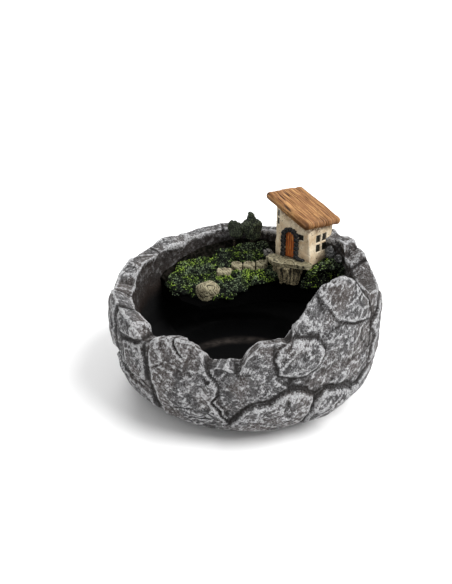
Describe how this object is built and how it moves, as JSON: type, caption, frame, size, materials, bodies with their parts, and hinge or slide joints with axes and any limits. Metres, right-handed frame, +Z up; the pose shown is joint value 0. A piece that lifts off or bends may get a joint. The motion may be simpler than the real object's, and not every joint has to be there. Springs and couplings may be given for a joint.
{
  "type": "cottage garden rock bowl",
  "caption": "Free-standing rock-look bowl with a broken rim and, inside its back wall, a mossy bank with a stone path, shrubs and a small cottage.",
  "frame": {"origin": "middle of the resting face, on the underside of the foam pad", "axes": "+Z up, -Y towards the front of the bowl (the low, open side that faces the viewer), +X to the right; the cottage stands at the back right"},
  "size_m": [0.22, 0.22, 0.1441],
  "materials": {
    "rock": "matt, dry-brushed cast resin",
    "pad_foam": "matt foam",
    "dark_ground": "semi-gloss dark resin",
    "moss": "flock",
    "path_stone": "matt",
    "corbel_stone": "matt",
    "grey_stone": "matt",
    "shrub_leaf": "matt",
    "shrub_bark": "matt",
    "plaster": "matt, worn at the edges",
    "roof_wood": "satin, deep grain",
    "door_wood": "satin",
    "arch_stone": "matt",
    "dark_pane": "satin"
  },
  "bodies": {
    "root": {"rock_bowl": "rock", "base_pad": "pad_foam", "garden_bank": "dark_ground", "moss_left": "moss", "moss_front": "moss", "moss_back": "moss", "moss_right": "moss", "step_stone_1": "path_stone", "step_stone_2": "path_stone", "step_stone_3": "path_stone", "step_stone_4": "path_stone", "path_boulder": "path_stone", "doorstep_slab": "path_stone", "slab_corbel": "corbel_stone", "rock_by_door": "grey_stone", "rock_by_wall_large": "grey_stone", "rock_by_wall_small": "grey_stone", "shrub_short": "shrub_leaf", "shrub_tall": "shrub_leaf", "shrub_short_trunk": "shrub_bark", "shrub_tall_trunk": "shrub_bark", "cottage_walls": "plaster", "cottage_roof": "roof_wood", "door_leaf": "door_wood", "door_arch": "arch_stone", "door_sill": "arch_stone", "front_window_pane": "dark_pane", "side_window_panes": "dark_pane", "end_window_panes": "dark_pane"}
  },
  "joints": []
}
